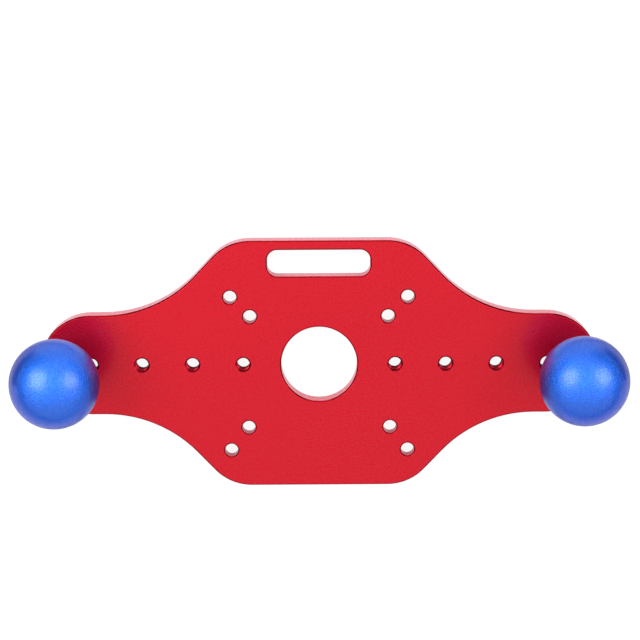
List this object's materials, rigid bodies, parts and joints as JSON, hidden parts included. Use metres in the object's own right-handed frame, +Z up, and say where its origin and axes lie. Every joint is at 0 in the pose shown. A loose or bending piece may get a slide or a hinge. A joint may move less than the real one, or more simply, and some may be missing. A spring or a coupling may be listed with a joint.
{
  "type": "router base plate",
  "caption": "Flat winged base plate for a trim router, with a round bit opening, a slot, screw holes and a ball knob on a short neck at each end.",
  "frame": {"origin": "on the axis of the bit opening, in the plane of the sole", "axes": "+X along the plate, +Y towards the edge with the slot, +Z up from the sole towards the knobs"},
  "size_m": [0.2364, 0.099, 0.0564],
  "materials": {
    "red_anodised": "fine bead-blasted aluminium, anodised red, satin",
    "blue_anodised": "fine bead-blasted aluminium, anodised blue, satin",
    "screw_steel": "blackened steel, slightly oily"
  },
  "bodies": {
    "plate": {"base_plate": "red_anodised", "knob_screw_left": "screw_steel", "knob_screw_right": "screw_steel"},
    "left_neck": {"knob_neck_left": "blue_anodised"},
    "left_ball": {"ball_knob_left": "blue_anodised"},
    "right_neck": {"knob_neck_right": "blue_anodised"},
    "right_ball": {"ball_knob_right": "blue_anodised"}
  },
  "joints": [
    {"name": "left_knob_rise", "type": "slide", "parent": "plate", "child": "left_neck", "axis": [0, 0, 1], "range_m": [0, 0.0125]},
    {"name": "left_knob_turn", "type": "hinge", "parent": "left_neck", "child": "left_ball", "pos_m": [-0.101, 0, 0.023], "axis": [0, 0, 1], "range_deg": [0, 4500]},
    {"name": "right_knob_rise", "type": "slide", "parent": "plate", "child": "right_neck", "axis": [0, 0, 1], "range_m": [0, 0.0125]},
    {"name": "right_knob_turn", "type": "hinge", "parent": "right_neck", "child": "right_ball", "pos_m": [0.101, 0, 0.023], "axis": [0, 0, 1], "range_deg": [0, 4500]}
  ],
  "couplings": [
    {"joint": "left_knob_rise", "follows": "left_knob_turn", "m_per_rad": 0.00015915},
    {"joint": "right_knob_rise", "follows": "right_knob_turn", "m_per_rad": 0.00015915}
  ]
}
